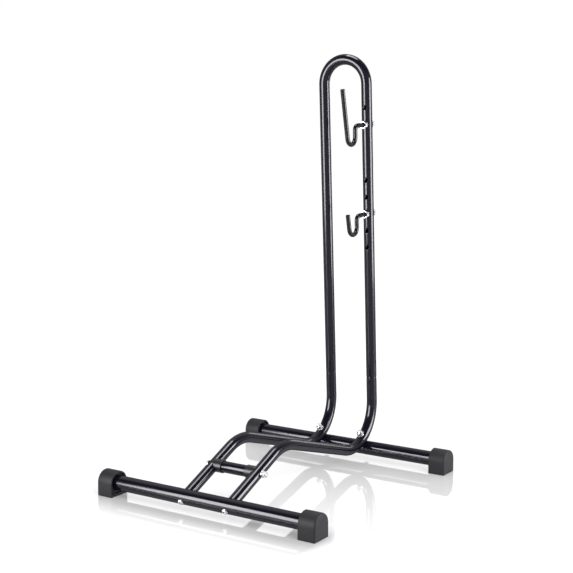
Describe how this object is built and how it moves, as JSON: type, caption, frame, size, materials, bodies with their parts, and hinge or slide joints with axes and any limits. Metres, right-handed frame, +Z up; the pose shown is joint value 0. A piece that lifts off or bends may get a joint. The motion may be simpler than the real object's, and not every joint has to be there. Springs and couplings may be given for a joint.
{
  "type": "floor bike rack",
  "caption": "Floor-standing bike rack: base tubes on plastic feet, bent side tubes that form a wheel ramp, and an upright loop with rim hooks.",
  "frame": {"origin": "on the floor, under the middle of the rack's width and depth", "axes": "+X along the base tubes towards the leg that carries the hooks, +Y from the front base tube to the posts, +Z up"},
  "size_m": [0.432, 0.476, 0.7399],
  "materials": {
    "black_powder_coat": "gloss",
    "grey_plastic": "matte",
    "collar_plastic": "satin",
    "bright_zinc": "bright",
    "hook_coating": "satin"
  },
  "bodies": {
    "rack": {"front_base_tube": "black_powder_coat", "rear_base_tube": "black_powder_coat", "front_left_foot_cap": "grey_plastic", "front_right_foot_cap": "grey_plastic", "rear_left_foot_cap": "grey_plastic", "rear_right_foot_cap": "grey_plastic", "left_side_tube": "black_powder_coat", "right_side_tube": "black_powder_coat", "loop_tube": "black_powder_coat", "cross_tube": "black_powder_coat", "left_cross_tube_collar": "collar_plastic", "right_cross_tube_collar": "collar_plastic", "left_front_bolt": "bright_zinc", "right_front_bolt": "bright_zinc", "left_ramp_insert": "bright_zinc", "right_ramp_insert": "bright_zinc", "left_rear_bolt": "bright_zinc", "right_rear_bolt": "bright_zinc", "left_rear_washer": "bright_zinc", "right_rear_washer": "bright_zinc", "left_rear_nut": "bright_zinc", "right_rear_nut": "bright_zinc", "cross_bolt": "bright_zinc", "left_cross_washer": "bright_zinc", "right_cross_washer": "bright_zinc", "cross_nut": "bright_zinc"},
    "upper_hook_body": {"upper_hook": "hook_coating", "upper_hook_front_nut": "bright_zinc", "upper_hook_back_nut": "bright_zinc"},
    "lower_hook_body": {"lower_hook": "hook_coating", "lower_hook_front_nut": "bright_zinc", "lower_hook_back_nut": "bright_zinc"}
  },
  "joints": [
    {"name": "upper_hook_swivel", "type": "hinge", "parent": "rack", "child": "upper_hook_body", "pos_m": [0.044, 0.2025, 0.615], "axis": [0, -0.9987, -0.0515], "continuous": true},
    {"name": "lower_hook_swivel", "type": "hinge", "parent": "rack", "child": "lower_hook_body", "pos_m": [0.044, 0.21072, 0.4555], "axis": [0, -0.9987, -0.0515], "continuous": true}
  ]
}
